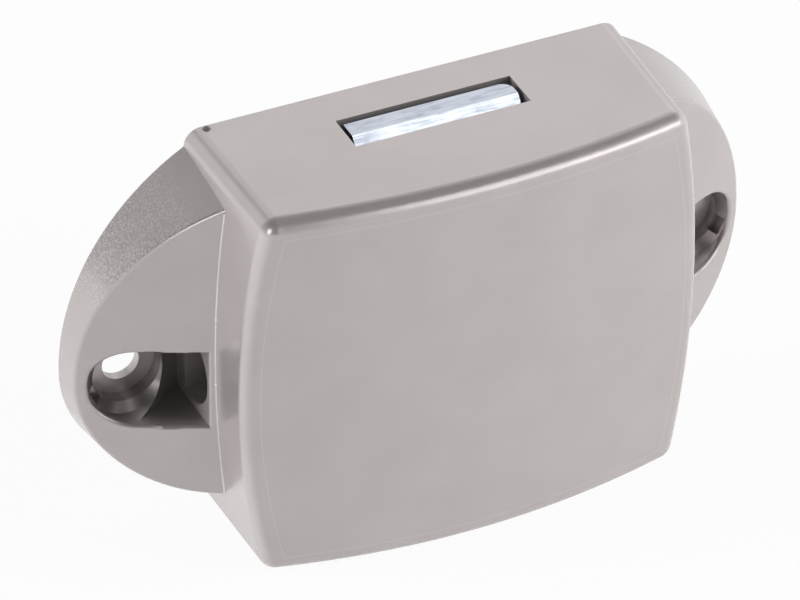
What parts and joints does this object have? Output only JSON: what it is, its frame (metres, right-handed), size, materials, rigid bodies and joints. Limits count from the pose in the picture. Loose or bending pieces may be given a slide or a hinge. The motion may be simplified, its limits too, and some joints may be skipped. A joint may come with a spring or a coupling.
{
  "type": "push-button rim lock",
  "caption": "Cabinet door rim lock: a crowned plastic case with rounded screw ears, a bevelled steel bolt in its top face and a push-to-lock plunger for a button behind the door.",
  "frame": {"origin": "where the push-button axis meets the door face, midway between the two screw holes", "axes": "+Y into the door, so the case stands off it towards -Y; +Z the way the bolt leaves; +X along the line of the screw holes"},
  "size_m": [0.0694, 0.025, 0.0406],
  "materials": {
    "case_plastic": "satin silver grey",
    "inner_plastic": "natural white",
    "zinc_steel": "bright zinc plate",
    "spring_steel": "drawn wire"
  },
  "bodies": {
    "lock_case": {"case": "case_plastic", "base_plate": "case_plastic", "plunger_spring": "spring_steel"},
    "plunger_group": {"plunger": "inner_plastic", "drive_pin_left": "zinc_steel", "drive_pin_right": "zinc_steel"},
    "bolt_group": {"bolt": "zinc_steel", "bolt_slider": "inner_plastic", "bolt_rivet_left": "zinc_steel", "bolt_rivet_right": "zinc_steel", "rivet_washer_left": "zinc_steel", "rivet_washer_right": "zinc_steel"},
    "follower": {"hold_follower": "spring_steel"}
  },
  "joints": [
    {"name": "plunger_slide", "type": "slide", "parent": "lock_case", "child": "plunger_group", "axis": [0, -1, 0], "range_m": [0, 0.008], "stiffness_N_per_m": 600, "springref_m": -0.006, "deforming": ["plunger_spring"]},
    {"name": "bolt_slide", "type": "slide", "parent": "lock_case", "child": "bolt_group", "axis": [0, 0, 1], "range_m": [0, 0.008]},
    {"name": "follower_swing", "type": "hinge", "parent": "lock_case", "child": "follower", "pos_m": [0, -0.008, -0.012], "axis": [0, 1, 0], "range_deg": [0, 19.6]}
  ],
  "couplings": [
    {"joint": "bolt_slide", "follows": "plunger_slide", "ratio": 1}
  ]
}
